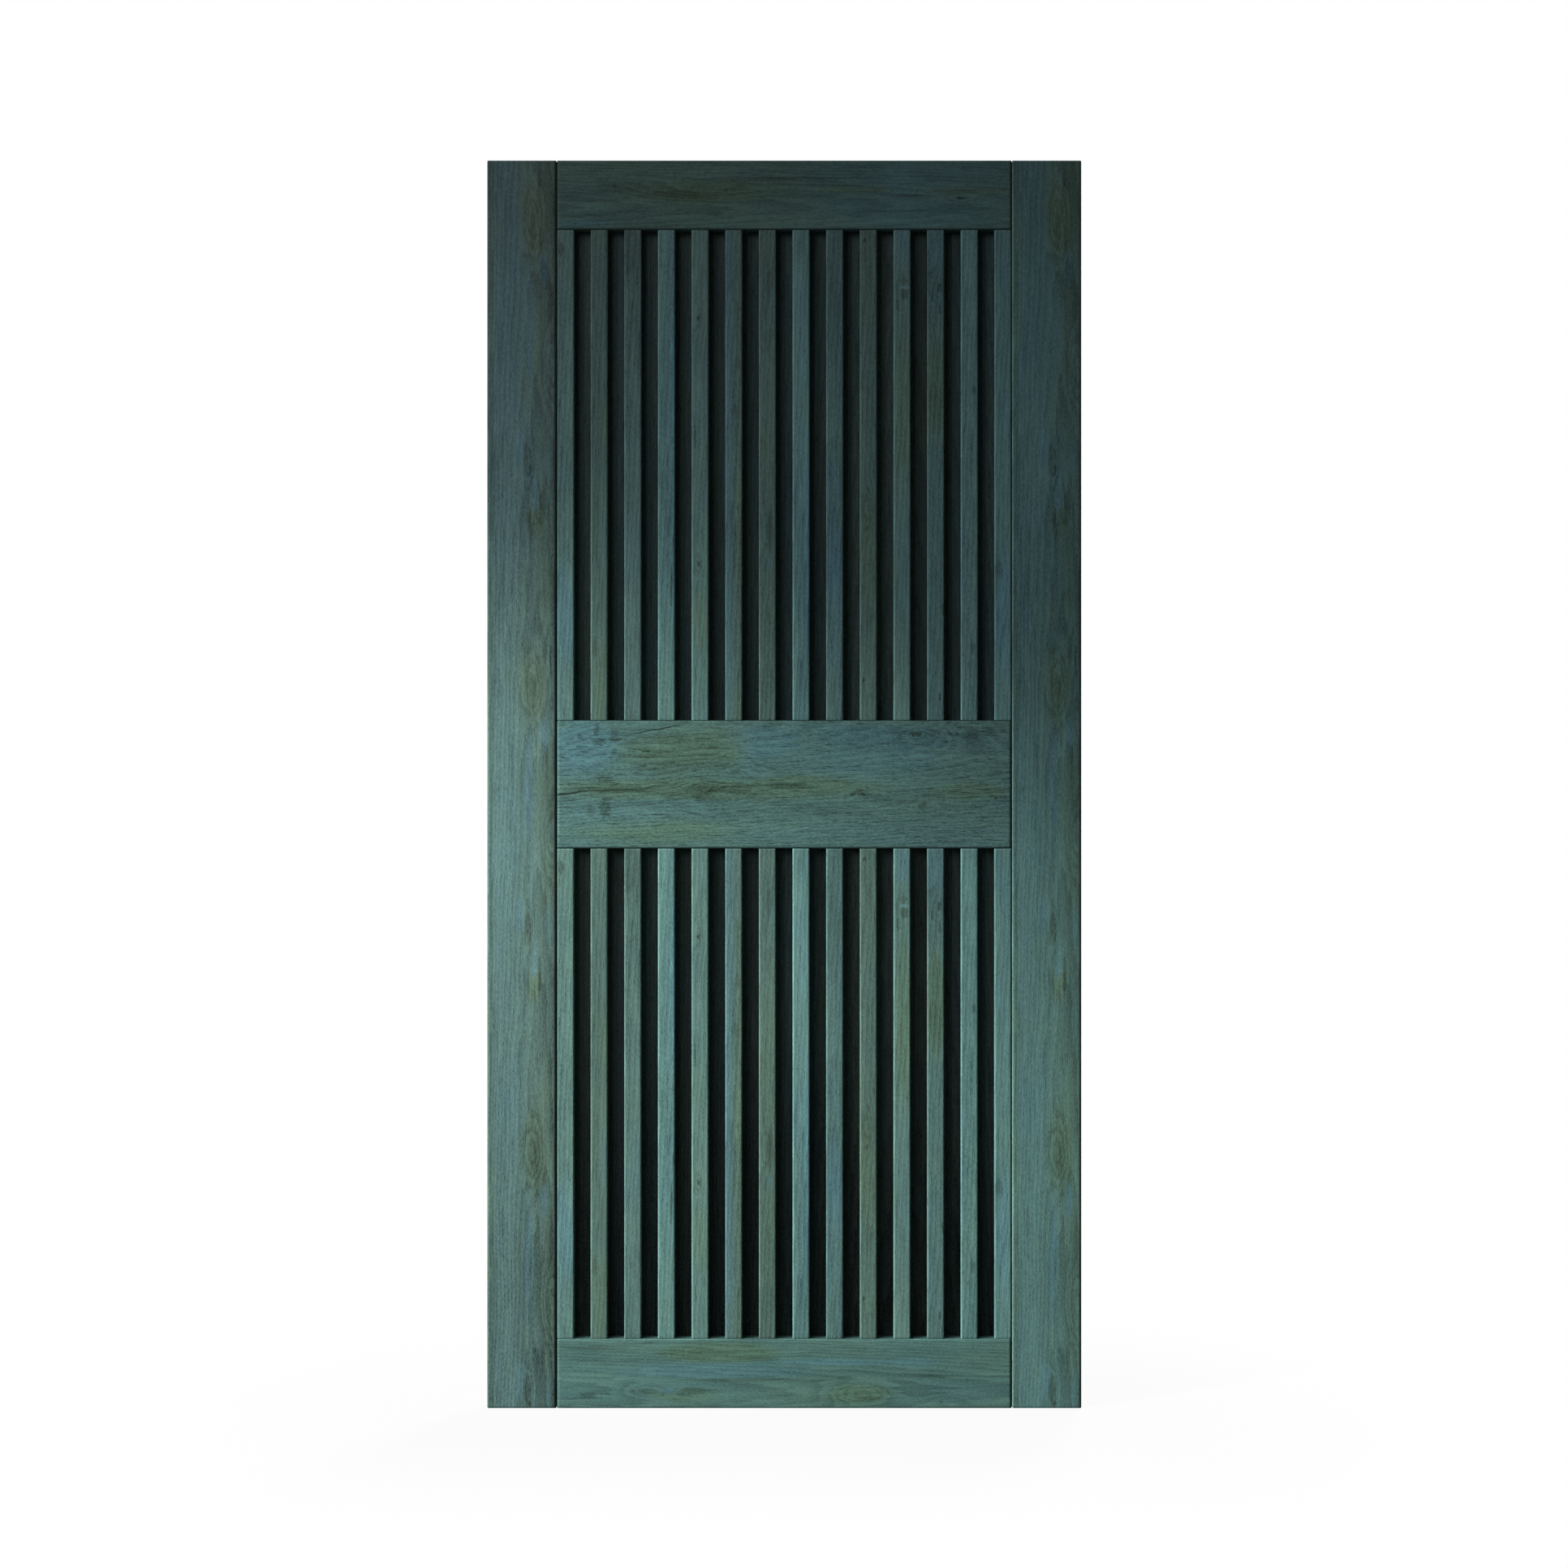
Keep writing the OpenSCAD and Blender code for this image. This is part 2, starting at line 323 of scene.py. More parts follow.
# Tone, red and blue of the slats' stains, and which stain each slat has, from left to right
PALE_BLUE = (1.30, 0.90, 1.00)
PALE_GREEN = (1.18, 0.96, 0.94)
MIDDLE_BLUE = (1.00, 0.94, 0.99)
MIDDLE_OLIVE = (1.00, 0.99, 0.94)
DEEP_OLIVE = (0.88, 1.02, 0.89)
SLAT_STAINS = (
    PALE_GREEN, DEEP_OLIVE, MIDDLE_OLIVE, PALE_BLUE, PALE_GREEN, MIDDLE_OLIVE, DEEP_OLIVE,
    PALE_BLUE, MIDDLE_BLUE, DEEP_OLIVE, PALE_GREEN, MIDDLE_BLUE, PALE_BLUE, PALE_BLUE,
)
SLAT_EYES = {
    5: [Eye(0.268, -0.003, 0.022, 0.007, 0.6, 1.5), Eye(-0.152, -0.003, 0.022, 0.007, 0.6, 1.5)],
    7: [Eye(-0.096, 0.002, 0.040, 0.009, 0.4, 2.0)],
    10: [Eye(-0.060, 0.000, 0.036, 0.010, 0.4, 2.5)],
    12: [Eye(0.380, 0.000, 0.050, 0.012, 0.3, 2.0)],
    14: [Eye(-0.200, 0.003, 0.080, 0.012, 0.3, 1.5)],
}
SLAT_MARKS = {
    1: [fleck(0.386, -0.008, 0.010, 0.004, 0.55), blue_patch(-0.230, 0.0, 0.070, 0.02, 0.5)],
    2: [
        shade(-0.296, -0.008, 0.016, 0.003, 0.50), olive_patch(-0.350, 0.004, 0.060, 0.012, 0.4),
        blue_patch(-0.110, 0.008, 0.060, 0.006, 0.5),
    ],
    3: [blue_patch(-0.130, 0.004, 0.060, 0.012, 0.3), shade(0.390, 0.0, 0.050, 0.012, 0.15)],
    4: [shade(-0.194, 0.008, 0.028, 0.0015, 0.50), blue_patch(0.180, 0.010, 0.120, 0.005, 0.4)],
    5: [
        fleck(0.268, -0.003, 0.005, 0.003, 0.85), fleck(-0.152, -0.003, 0.005, 0.003, 0.85),
        shade(0.268, -0.002, 0.014, 0.005, 0.30), shade(-0.152, -0.002, 0.016, 0.005, 0.32),
        olive_patch(-0.250, 0.002, 0.050, 0.012, 0.5),
    ],
    6: [
        blue_patch(0.0, -0.009, 0.500, 0.006, 0.6), olive_patch(-0.050, 0.008, 0.380, 0.006, 0.4),
        shade(0.110, 0.004, 0.014, 0.003, 0.40), shade(0.190, 0.006, 0.012, 0.003, 0.40),
    ],
    7: [
        blue_patch(0.305, 0.009, 0.013, 0.004, 1.0), shade(0.321, 0.002, 0.028, 0.004, 0.40),
        shade(-0.096, 0.003, 0.026, 0.006, 0.42), blue_patch(-0.150, 0.003, 0.012, 0.006, 0.5),
    ],
    8: [blue_patch(-0.110, 0.010, 0.160, 0.005, 0.4)],
    9: [shade(0.311, 0.000, 0.070, 0.008, 0.22), blue_patch(-0.160, 0.000, 0.070, 0.010, 0.5)],
    10: [
        fleck(0.401, -0.007, 0.004, 0.002, 0.80), fleck(-0.351, -0.008, 0.004, 0.002, 0.80),
        shade(-0.060, -0.002, 0.034, 0.008, 0.25), olive_patch(-0.150, 0.0, 0.080, 0.014, 0.4),
    ],
    11: [
        fleck(0.309, 0.004, 0.009, 0.007, 0.55), fleck(0.332, 0.002, 0.008, 0.006, 0.40),
        Mark(0.321, 0.004, 0.003, 0.008, 0.0, -0.4, 0.30, 0.4), olive_patch(0.130, 0.003, 0.120, 0.014, 0.5),
        fleck(0.290, -0.008, 0.010, 0.002, 0.50), blue_patch(0.390, 0.0, 0.030, 0.014, 0.5),
    ],
    12: [
        fleck(0.321, 0.006, 0.008, 0.004, 0.55), fleck(0.284, 0.007, 0.014, 0.002, 0.60),
        fleck(0.305, -0.006, 0.010, 0.002, 0.50), olive_patch(0.150, 0.0, 0.080, 0.016, 0.7),
        fleck(-0.230, 0.012, 0.012, 0.002, 0.60), fleck(-0.380, 0.007, 0.008, 0.002, 0.55),
        blue_patch(0.390, 0.0, 0.040, 0.016, 0.4),
    ],
    13: [fleck(0.144, 0.008, 0.009, 0.003, 0.50), shade(-0.295, 0.005, 0.010, 0.004, 0.50)],
    14: [blue_patch(-0.250, 0.003, 0.090, 0.012, 0.4), shade(-0.160, -0.007, 0.014, 0.004, 0.45)],
}
SLAT_CHECKS = {
    4: [Check(-0.096, 0.013, -0.126, 0.012, 0.0010)],
    5: [Check(0.088, -0.009, 0.039, -0.008, 0.0010), Check(-0.320, -0.008, -0.362, -0.009, 0.0010)],
}
# Slats that are paler or darker towards their top or their foot, by how much, and where and how far
PALE_TOPS = (7, 8)
DARK_TOPS = (3, 12)
PALE_FEET = (2, 5, 10)
DARK_FEET = (6, 7, 8, 9, 13)
END_TONE = 0.11
END_ALONG = 0.32
END_LENGTH = 0.22
END_WIDTH = 0.10
# The seed before the first slat's, how much painted shade darkens a slat towards its back, and the fields
# that slats fill
SLAT_SEED = 10.0
SLAT_BACK_SHADE = 0.85
SLAT_COUNT = len(SLAT_STAINS)
FIELDS = ("upper", "lower")
# Seed and red of each back panel, and how much painted shade darkens its front at the foot
PANELS = {"upper_panel": (50.0, 1.0, 0.0), "lower_panel": (51.0, 1.12, 0.6)}
# How far from an edge the frame's boards and the slats look rounded, worn and lit by a painted highlight
FRAME_EDGE = 0.0055
SLAT_EDGE = 0.003


def slat_board(number):
    """The board of one slat, counted from the left; both fields use the same run of wood."""
    marks = list(SLAT_MARKS.get(number, ()))
    for along, paler, darker in ((END_ALONG, PALE_TOPS, DARK_TOPS), (-END_ALONG, PALE_FEET, DARK_FEET)):
        light = END_TONE * ((number in paler) - (number in darker))
        if light:
            marks.append(tone_patch(along, 0.0, END_LENGTH, END_WIDTH, light))
    return Board(
        SLAT_SEED + number, *SLAT_STAINS[number - 1], STRAIGHT,
        SLAT_EYES.get(number, ()), marks, SLAT_CHECKS.get(number, ()))


def colour_setting(name, description, default, highest=1):
    """A colour in linear light."""
    return FloatVectorProperty(
        name=name, description=description, subtype="COLOR", size=3, min=0, max=highest, default=default)


def length_setting(name, description, low, high, default):
    """A length in metres."""
    return FloatProperty(
        name=name, description=description, unit="LENGTH", min=low, max=high, default=default)


def power_setting(name, description, high, default):
    """A lamp's power in watts."""
    return FloatProperty(name=name, description=description, unit="POWER", min=0, max=high, default=default)


class DOOR_PG_stain(PropertyGroup):
    """Colours of the stained wood, in linear light."""

    blue: colour_setting("Blue", "Stain where the wood took up most of it", (0.106, 0.212, 0.236))
    olive: colour_setting("Olive", "Stain where the wood's own colour shows through", (0.122, 0.212, 0.166))
    brown: colour_setting(
        "Brown", "Tint that knots, flecks and heartwood give to the stain", (0.37, 0.30, 0.24))
    # The pore colour is also the darkest of the joints and of the seams' painted shade
    pore: colour_setting("Pore", "Open pores and drying checks", (0.018, 0.028, 0.025))
    bare_light: colour_setting("Bare wood", "Unstained wood of the dowels", (0.60, 0.42, 0.22))
    bare_dark: colour_setting("Bare late wood", "Darker rings of the dowels' wood", (0.42, 0.26, 0.12))
    panel_tone: FloatProperty(
        name="Panel tone", description="How light the back panels are beside the frame",
        subtype="FACTOR", min=0, max=2, default=0.50)


class DOOR_PG_grain(PropertyGroup):
    """Sizes of the wood's figure."""

    ring_spacing: length_setting("Ring spacing", "Distance between two growth rings", 0.001, 0.02, 0.0042)
    fibre_width: length_setting(
        "Fibre width", "Width of the finest lines along the grain", 0.0005, 0.01, 0.0015)
    line_width: length_setting("Line width", "Width of the lines along the grain", 0.001, 0.02, 0.0060)
    streak_width: length_setting(
        "Streak width", "Width of the broad streaks along the grain", 0.005, 0.1, 0.024)
    patch_width: length_setting(
        "Patch width", "Width of a patch where the stain turns from blue to olive", 0.005, 0.3, 0.055)
    pore_width: length_setting("Pore width", "Width of an open pore", 0.0003, 0.005, 0.0016)
    pore_length: length_setting("Pore length", "Length of an open pore along the grain", 0.002, 0.1, 0.022)
    stave_width: length_setting(
        "Stave width", "Width of a stave of the glued-up back panels", 0.02, 0.2, 0.0575)
    relief: length_setting("Relief", "Depth of the open grain", 0, 0.003, 0.0005)


class DOOR_PG_stage(PropertyGroup):
    """The camera and the lamps."""

    camera_distance: length_setting(
        "Camera distance", "From the lens to the front of the door", 1, 20, 3.55)
    view_width: length_setting("View width", "Width of the view at the front of the door", 0.5, 10, 2.6794)
    camera_offset: FloatVectorProperty(
        name="Camera offset", description="How far the camera stands from the axis of the door",
        subtype="TRANSLATION", size=3, default=(-0.0005, 0.0, 0.0006))
    side_power: power_setting("Side lamp", "Power of the broad lamp low on the left", 5000, 254)
    side_tint: colour_setting(
        "Side lamp's tint", "Colour of the broad lamp low on the left", (0.892, 1.0, 1.128), highest=2)
    beam_power: power_setting("Beam", "Power of the narrow lamp far off on the left", 50000, 4100)
    beam_tint: colour_setting(
        "Beam's tint", "Colour of the narrow lamp far off on the left", (1.025, 1.0, 0.922), highest=2)
    soft_power: power_setting("Soft lamp", "Power of the wide, weak lamp in front", 5000, 29.3)
    soft_tint: colour_setting(
        "Soft lamp's tint", "Colour of the wide, weak lamp in front", (1.19, 1.0, 1.09), highest=2)
    back_power: power_setting("Back lamp", "Power of the broad lamp behind the door", 5000, 160)
    fill: FloatProperty(
        name="Fill", description="Strength of the even light from all round",
        subtype="FACTOR", min=0, max=1, default=0.012)


class DOOR_PG_settings(PropertyGroup):
    """All settings of the door's looks."""

    stain: PointerProperty(type=DOOR_PG_stain)
    grain: PointerProperty(type=DOOR_PG_grain)
    stage: PointerProperty(type=DOOR_PG_stage)


def settings():
    """The settings in use."""
    return bpy.context.scene.barn_door


class Graph:
    """A node tree with short calls, each of which adds a node and returns its output."""

    def __init__(self, tree):
        self.nodes = tree.nodes
        self.links = tree.links

    def put(self, socket, value):
        """Links an input to an output, or sets its value."""
        if isinstance(value, NodeSocket):
            self.links.new(value, socket)
        else:
            socket.default_value = value

    def add(self, kind, inputs=None, **attributes):
        """A node with its attributes and named or numbered inputs set."""
        node = self.nodes.new(kind)
        for name, value in attributes.items():
            setattr(node, name, value)
        for key, value in (inputs or {}).items():
            self.put(node.inputs[key], value)
        return node

    def math(self, operation, *values):
        """A Math node."""
        return self.add("ShaderNodeMath", dict(enumerate(values)), operation=operation).outputs[0]

    def vector_math(self, operation, values):
        """The outputs of a Vector Math node."""
        return self.add("ShaderNodeVectorMath", dict(enumerate(values)), operation=operation).outputs

    def vector(self, operation, *values):
        """A Vector Math node that gives a vector."""
        return self.vector_math(operation, values)["Vector"]

    def measure(self, operation, *values):
        """A Vector Math node that gives a number."""
        return self.vector_math(operation, values)["Value"]

    def split(self, vector):
        """The three parts of a vector."""
        return self.add("ShaderNodeSeparateXYZ", {0: vector}).outputs

    def join(self, x, y, z):
        """A vector from its three parts."""
        return self.add("ShaderNodeCombineXYZ", {0: x, 1: y, 2: z}).outputs[0]

    def noise(self, vector, detail=2.0, roughness=0.5):
        """Noise of unit size from 0 to 1."""
        inputs = {"Vector": vector, "Scale": 1.0, "Detail": detail, "Roughness": roughness}
        return self.add("ShaderNodeTexNoise", inputs).outputs["Fac"]

    def ramp(self, value, low, high, to_low=0.0, to_high=1.0):
        """A smooth step from one value to another as the input goes from low to high."""
        inputs = {0: value, 1: low, 2: high, 3: to_low, 4: to_high}
        return self.add("ShaderNodeMapRange", inputs, interpolation_type="SMOOTHSTEP").outputs[0]

    def swing(self, value, amount, base=0.0):
        """A value from 0 to 1 made to swing about a base."""
        return self.math("MULTIPLY_ADD", value, amount, base - amount / 2)

    def total(self, values):
        """The sum of several values."""
        result = values[0]
        for value in values[1:]:
            result = self.math("ADD", result, value)
        return result

    def weighted(self, pairs, base=0.0):
        """A base with each value added as often as its weight says."""
        for value, weight in pairs:
            base = self.math("MULTIPLY_ADD", value, weight, base)
        return base

    def largest(self, values):
        """The largest of several masks, or zero if there are none."""
        result = 0.0
        for value in values:
            result = self.math("MAXIMUM", result, value)
        return result

    def blend(self, factor, first, second, mode="MIX"):
        """A mix of two colours."""
        node = self.add("ShaderNodeMix", data_type="RGBA", blend_type=mode)
        for key, value in ((0, factor), (6, first), (7, second)):
            self.put(node.inputs[key], value)
        return node.outputs[2]

    def group(self, tree, **inputs):
        """A shared group with its inputs set; an underscore in a name stands for a space."""
        node = self.nodes.new("ShaderNodeGroup")
        node.node_tree = tree
        for name, value in inputs.items():
            self.put(node.inputs[name.replace("_", " ").title()], value)
        return node.outputs


def shared_group(name, inputs, outputs):
    """A new node group: its tree, a graph on it, its inputs and its outputs."""
    tree = bpy.data.node_groups.new(name, "ShaderNodeTree")
    for in_out, sockets in (("INPUT", inputs), ("OUTPUT", outputs)):
        for socket_name, kind in sockets.items():
            tree.interface.new_socket(socket_name, in_out=in_out, socket_type="NodeSocket" + kind)
    graph = Graph(tree)
    entry = graph.nodes.new("NodeGroupInput").outputs
    result = graph.nodes.new("NodeGroupOutput").inputs
    return tree, graph, entry, result


def to_feature(feature):
    """Scale and offset that make a feature's reach one and put its middle at zero."""
    scale = (1 / feature.length, 1 / feature.width, 0.0)
    return {"scale": scale, "offset": (-feature.along * scale[0], -feature.across * scale[1], 0.0)}


def eye_group():
    """How far grain swells round a place, and how near the place is."""
    tree, g, entry, result = shared_group(
        "Grain Eye", {"Vector": "Vector", "Scale": "Vector", "Offset": "Vector", "Pull": "Float"},
        {"Shift": "Float", "Near": "Float"})
    local = g.vector("MULTIPLY_ADD", entry["Vector"], entry["Scale"], entry["Offset"])
    square = g.measure("DOT_PRODUCT", local, local)
    near = g.math("EXPONENT", g.math("MULTIPLY", square, -1.0))
    pull = g.math("MULTIPLY", near, entry["Pull"])
    g.put(result["Shift"], g.math("MULTIPLY", g.split(local)[1], pull))
    g.put(result["Near"], near)
    return tree


def mark_group():
    """A fleck or patch with a ragged edge, crisp or soft."""
    tree, g, entry, result = shared_group(
        "Mark", {"Vector": "Vector", "Scale": "Vector", "Offset": "Vector", "Ragged": "Float",
                 "Inner": "Float", "Outer": "Float"},
        {"Mask": "Float"})
    local = g.vector("MULTIPLY_ADD", entry["Vector"], entry["Scale"], entry["Offset"])
    edge = g.math("ADD", g.measure("DOT_PRODUCT", local, local), entry["Ragged"])
    g.put(result["Mask"], g.ramp(edge, entry["Inner"], entry["Outer"], 1.0, 0.0))
    return tree


# From where to where a drying check darkens, inwards from its side
CHECK_EDGE = (-0.0004, 0.0010)


def check_group():
    """A drying check: a thin dark crack that wanders between two points and tapers to its ends."""
    tree, g, entry, result = shared_group(
        "Drying Check", {"Vector": "Vector", "Wander": "Float", "Scale": "Float", "Offset": "Float",
                         "Start": "Float", "Rise": "Float", "Width": "Float"},
        {"Mask": "Float"})
    point = g.split(entry["Vector"])
    share = g.math("MULTIPLY_ADD", point[0], entry["Scale"], entry["Offset"])
    line = g.math("MULTIPLY_ADD", share, entry["Rise"], entry["Start"])
    gap = g.math("ABSOLUTE", g.math("SUBTRACT", g.math("ADD", line, entry["Wander"]), point[1]))
    taper = g.math("MULTIPLY", share, g.math("SUBTRACT", 1.0, share))
    wide = g.math("MULTIPLY", entry["Width"], g.math("MULTIPLY", g.math("MAXIMUM", taper, 0.0), 4.0))
    g.put(result["Mask"], g.ramp(g.math("SUBTRACT", wide, gap), *CHECK_EDGE))
    return tree


# The parts of the grain, and how long some of them are
GRAIN = ("Fibres", "Lines", "Streaks", "Patches", "Rings", "Pores")
FIBRE_LENGTH = 0.005
LINE_LENGTH = 0.060
STREAK_LENGTH = 0.30
PATCH_LENGTH = 0.22
# How often the grain sways along, across and through a board, and how far
SWAY_RATE = (5.0, 16.0, 16.0)
SWAY = 0.014
# How far one seed's wood lies from the next
SEED_STEPS = (1.7, 3.1, 2.3)
# Shares of a ring over which its late wood comes and goes, and heights of noise over which a pore opens
LATE_WOOD_COMES = (0.15, 0.80)
LATE_WOOD_GOES = (0.84, 0.98)
PORE_OPENS = (0.58, 0.74)


def grain_group(sizes):
    """Oak grain along the first axis, from the finest fibres to broad streaks and patches."""
    tree, g, entry, result = shared_group(
        "Oak Grain", {"Vector": "Vector", "Seed": "Float", "Rise": "Float", "Pith Across": "Float",
                      "Pith Depth": "Float", "Pith Slope": "Float"},
        dict.fromkeys(GRAIN, "Float"))
    shift = g.join(*[g.math("MULTIPLY", entry["Seed"], step) for step in SEED_STEPS])
    place = g.vector("ADD", entry["Vector"], shift)
    sway = g.noise(g.vector("MULTIPLY", place, SWAY_RATE), 1.0)
    wander = g.math("MULTIPLY", g.math("SUBTRACT", sway, 0.5), SWAY)
    wavy = g.vector("ADD", place, g.join(0.0, wander, 0.0))

    def figure(length, width, detail, roughness=0.5):
        """Noise that is stretched to a length along the grain and a width across it."""
        scaled = g.vector("MULTIPLY", wavy, (1 / length, 1 / width, 1 / width))
        return g.noise(scaled, detail, roughness)

    point = g.split(entry["Vector"])
    across = g.math("ADD", g.math("SUBTRACT", point[1], entry["Pith Across"]), wander)
    run_out = g.math("MULTIPLY", point[0], entry["Pith Slope"])
    depth = g.math("SUBTRACT", g.math("ADD", entry["Pith Depth"], run_out), point[2])
    square = g.math("ADD", g.math("MULTIPLY", across, across), g.math("MULTIPLY", depth, depth))
    radius = g.math("DIVIDE", g.math("SQRT", square), sizes.ring_spacing)
    lines = figure(LINE_LENGTH, sizes.line_width, 1.0)
    phase = g.math("FRACT", g.total([radius, entry["Rise"], g.swing(lines, 1.0)]))
    late_wood = g.math("MULTIPLY", g.ramp(phase, *LATE_WOOD_COMES), g.ramp(phase, *LATE_WOOD_GOES, 1.0, 0.0))

    g.put(result["Fibres"], figure(FIBRE_LENGTH, sizes.fibre_width, 1.0, 0.6))
    g.put(result["Lines"], lines)
    g.put(result["Streaks"], figure(STREAK_LENGTH, sizes.streak_width, 1.0))
    g.put(result["Patches"], figure(PATCH_LENGTH, sizes.patch_width, 2.0, 0.6))
    g.put(result["Rings"], late_wood)
    g.put(result["Pores"], g.ramp(figure(sizes.pore_length, sizes.pore_width, 1.0), *PORE_OPENS))
    return tree


def edge_group():
    """A mask of a board's eased edges, where two of its faces meet, and the way that it faces there."""
    tree, g, entry, result = shared_group(
        "Eased Edges", {"Vector": "Vector", "Half Size": "Vector", "Width": "Float"},
        {"Mask": "Float", "Facing": "Vector"})
    width = g.join(entry["Width"], entry["Width"], entry["Width"])
    inner = g.vector("SUBTRACT", entry["Half Size"], width)
    past = g.vector("DIVIDE", g.vector("SUBTRACT", g.vector("ABSOLUTE", entry["Vector"]), inner), width)
    past = g.vector("MAXIMUM", past, (0.0, 0.0, 0.0))
    g.put(result["Facing"], g.vector("MULTIPLY", past, g.vector("SIGN", entry["Vector"])))
    near = [g.ramp(part, 0.0, 1.0) for part in g.split(past)]
    pairs = [g.math("MULTIPLY", near[a], near[b]) for a, b in ((0, 1), (1, 2), (0, 2))]
    g.put(result["Mask"], g.ramp(g.largest(pairs), 0.5, 1.0))
    return tree


# How far parts of the grain turn the stain from blue to olive, and how far they lighten it
GRAIN_TURNS = {"Patches": 0.8, "Streaks": 0.4, "Lines": 0.2}
GRAIN_LIGHTENS = {"Lines": 0.6, "Streaks": 0.5}
BASE_LIGHT = 1.08
LATE_WOOD_LIGHT = -0.22
# How dark cracks, joints and the seams' painted shade are, how rough the wood is, and how much rougher and
# deeper its pores are
DARK_LINE_SHARE = 0.85
WOOD_ROUGHNESS = 0.58
PORE_ROUGHNESS = 0.25
PORE_DEPTH = 0.6


def stain_group(stain):
    """Colour, gloss and relief of stained oak from its grain, its flecks and its edges."""
    tree, g, entry, result = shared_group(
        "Blue-green Stain",
        {**dict.fromkeys(GRAIN, "Float"), "Contrast": "Float", "Open Grain": "Float", "Brown": "Float",
         "Olive": "Float", "Light": "Float", "Cracks": "Float", "Edges": "Float", "Tint": "Vector"},
        {"Color": "Color", "Roughness": "Float", "Height": "Float"})
    turns = [g.swing(entry[name], amount) for name, amount in GRAIN_TURNS.items()]
    turn = g.total([g.math("ADD", entry["Olive"], 0.5), *turns])
    colour = g.blend(turn, (*stain.blue, 1), (*stain.olive, 1))
    fine = g.math("MULTIPLY_ADD", g.swing(entry["Fibres"], 1.0), entry["Contrast"], BASE_LIGHT)
    lights = [g.swing(entry[name], amount) for name, amount in GRAIN_LIGHTENS.items()]
    late_wood = g.math("MULTIPLY", entry["Rings"], LATE_WOOD_LIGHT)
    figure = g.total([fine, *lights, late_wood, entry["Light"]])
    # The eased edges are lighter, partly from wear and partly as a painted highlight
    light = g.math("MULTIPLY", figure, g.math("ADD", entry["Edges"], 1.0))
    tint = g.vector("MULTIPLY", entry["Tint"], g.join(light, light, light))
    colour = g.blend(1.0, colour, tint, "MULTIPLY")
    colour = g.blend(entry["Brown"], colour, (*stain.brown, 1), "MULTIPLY")
    open_grain = g.math("MULTIPLY", entry["Pores"], entry["Open Grain"])
    # Pores, cracks, joints and the seams' painted shade all darken towards the pore colour
    dark = g.math("MAXIMUM", open_grain, g.math("MULTIPLY", entry["Cracks"], DARK_LINE_SHARE))
    g.put(result["Color"], g.blend(dark, colour, (*stain.pore, 1)))
    g.put(result["Roughness"], g.math("MULTIPLY_ADD", entry["Pores"], PORE_ROUGHNESS, WOOD_ROUGHNESS))
    pits = g.math("MULTIPLY", entry["Pores"], PORE_DEPTH)
    g.put(result["Height"], g.math("SUBTRACT", entry["Fibres"], pits))
    return tree


# How much the dull finish shines, and how strongly its relief shows on stained and on bare wood
SPECULAR = 0.05
STAINED_RELIEF = 0.6
BARE_RELIEF = 0.4
# Share of the wood's own normal where an edge is softened
OWN_NORMAL = (0.15, 0.15, 0.15)
# How ragged the edges of soft patches and of crisp flecks are
COARSE_RAGGED = 2.2
FINE_RAGGED = 3.0
# How often a drying check wanders along the board, and how far
CHECK_WANDER_RATE = (50.0, 0.0, 0.0)
CHECK_WANDER = 0.007
# Share of a seam's reach over which its stain and painted shade are darkest
SHADED_SEAM_CORE = 0.3
# Steps of the seed from stave to stave, and how much of a stave's width its joint takes
STAVE_SEED_STEP = 0.73
STAVE_JOINT = 0.012
# The darkest tone of a stave and the least olive one, and how far others differ from them
STAVE_TONE, STAVE_TONE_RANGE = 0.8, 0.4
STAVE_OLIVE, STAVE_OLIVE_RANGE = -0.2, 0.6
# The dowels' seed, and how rough they are and how much that varies
DOWEL_SEED = 40.0
DOWEL_ROUGHNESS, DOWEL_ROUGHNESS_RANGE = 0.6, 0.2


def shared(name, make, *values):
    """The shared node group of that name, made on first use."""
    return bpy.data.node_groups.get(name) or make(*values)


def board_space(graph, node_name, turn):
    """Object coordinates turned and centred on a board, and the board's half size in them."""
    low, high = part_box(node_name)
    if turn == UPRIGHT:
        order = (2, 0, 1)
        signs = (1, 1, 1)
    else:
        order = (0, 2, 1)
        signs = (1, 1, -1)
    middle = (low + high) / 2
    half = (high - low) / 2
    mapping = graph.add("ShaderNodeMapping")
    mapping.inputs["Rotation"].default_value = turn
    mapping.inputs["Location"].default_value = [-s * middle[i] for s, i in zip(signs, order)]
    graph.put(mapping.inputs["Vector"], graph.nodes.new("ShaderNodeTexCoord").outputs["Object"])
    return mapping.outputs[0], Vector(half[i] for i in order)


def new_material(name):
    """An empty material with its shader: the graph and the Principled shader's inputs."""
    material = bpy.data.materials.new(name)
    material.use_nodes = True
    graph = Graph(material.node_tree)
    shader = graph.nodes["Principled BSDF"].inputs
    shader["Specular IOR Level"].default_value = SPECULAR
    return material, graph, shader


def oak_grain(g, space, seed, pith, rise=0.0):
    """The grain group in a board's space."""
    return g.group(
        shared("Oak Grain", grain_group, settings().grain), vector=space, seed=seed, rise=rise,
        pith_across=pith.across, pith_depth=pith.depth, pith_slope=pith.slope)


def apply_stain(g, shader, grain, facing=None, **inputs):
    """Links the stain's colour, gloss and relief to a material's shader."""
    for name in GRAIN:
        inputs[name.lower()] = grain[name]
    finish = g.group(shared("Blue-green Stain", stain_group, settings().stain), **inputs)
    relief = {"Strength": STAINED_RELIEF, "Distance": settings().grain.relief, "Height": finish["Height"]}
    if facing:
        relief["Normal"] = facing
    g.put(shader["Base Color"], finish["Color"])
    g.put(shader["Roughness"], finish["Roughness"])
    g.put(shader["Normal"], g.add("ShaderNodeBump", relief).outputs["Normal"])


